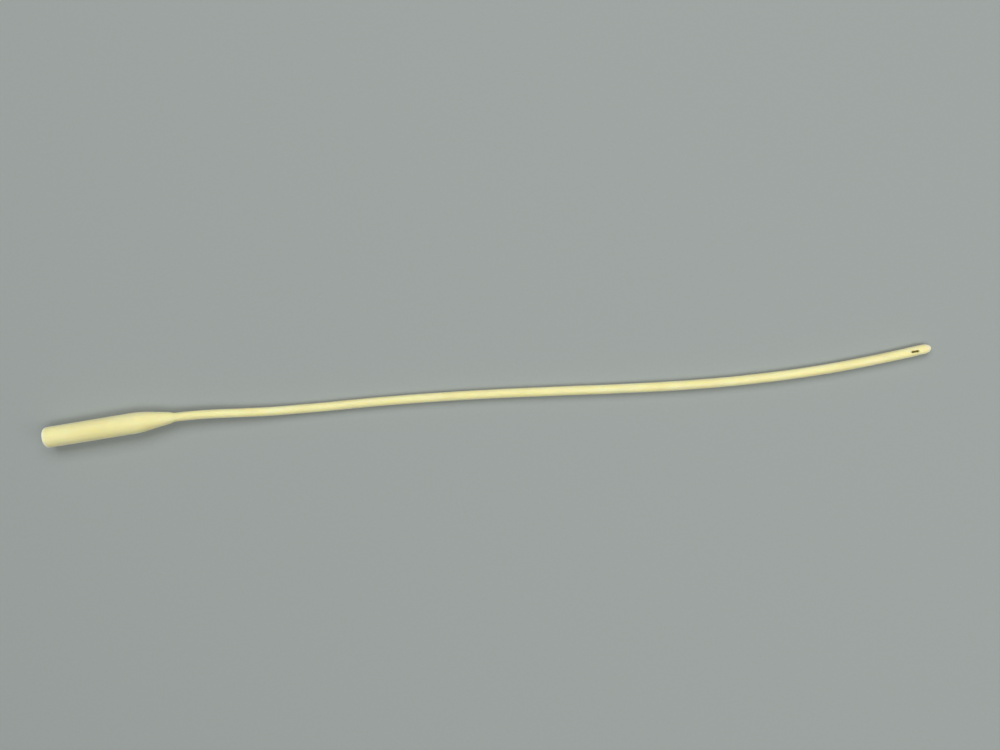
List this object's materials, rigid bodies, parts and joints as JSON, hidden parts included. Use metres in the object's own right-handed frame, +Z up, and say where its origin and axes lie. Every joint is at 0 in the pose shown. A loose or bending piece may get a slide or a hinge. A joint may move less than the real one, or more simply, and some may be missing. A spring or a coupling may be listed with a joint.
{
  "type": "urinary catheter",
  "caption": "Slender one-way urinary catheter of natural latex, lying in a gentle curve: open funnel, cone, lumen shaft, closed rounded tip and punched side eye.",
  "frame": {"origin": "bottom centre of the whole catheter's box as it lies on a flat surface", "axes": "+X along the funnel, from its mouth towards the tip; +Z up from the surface; seen from above, the shaft bends towards -Y"},
  "size_m": [0.3986, 0.0334, 0.0095],
  "materials": {
    "latex": "satin"
  },
  "bodies": {
    "root": {"catheter_tube": "latex"}
  },
  "joints": []
}
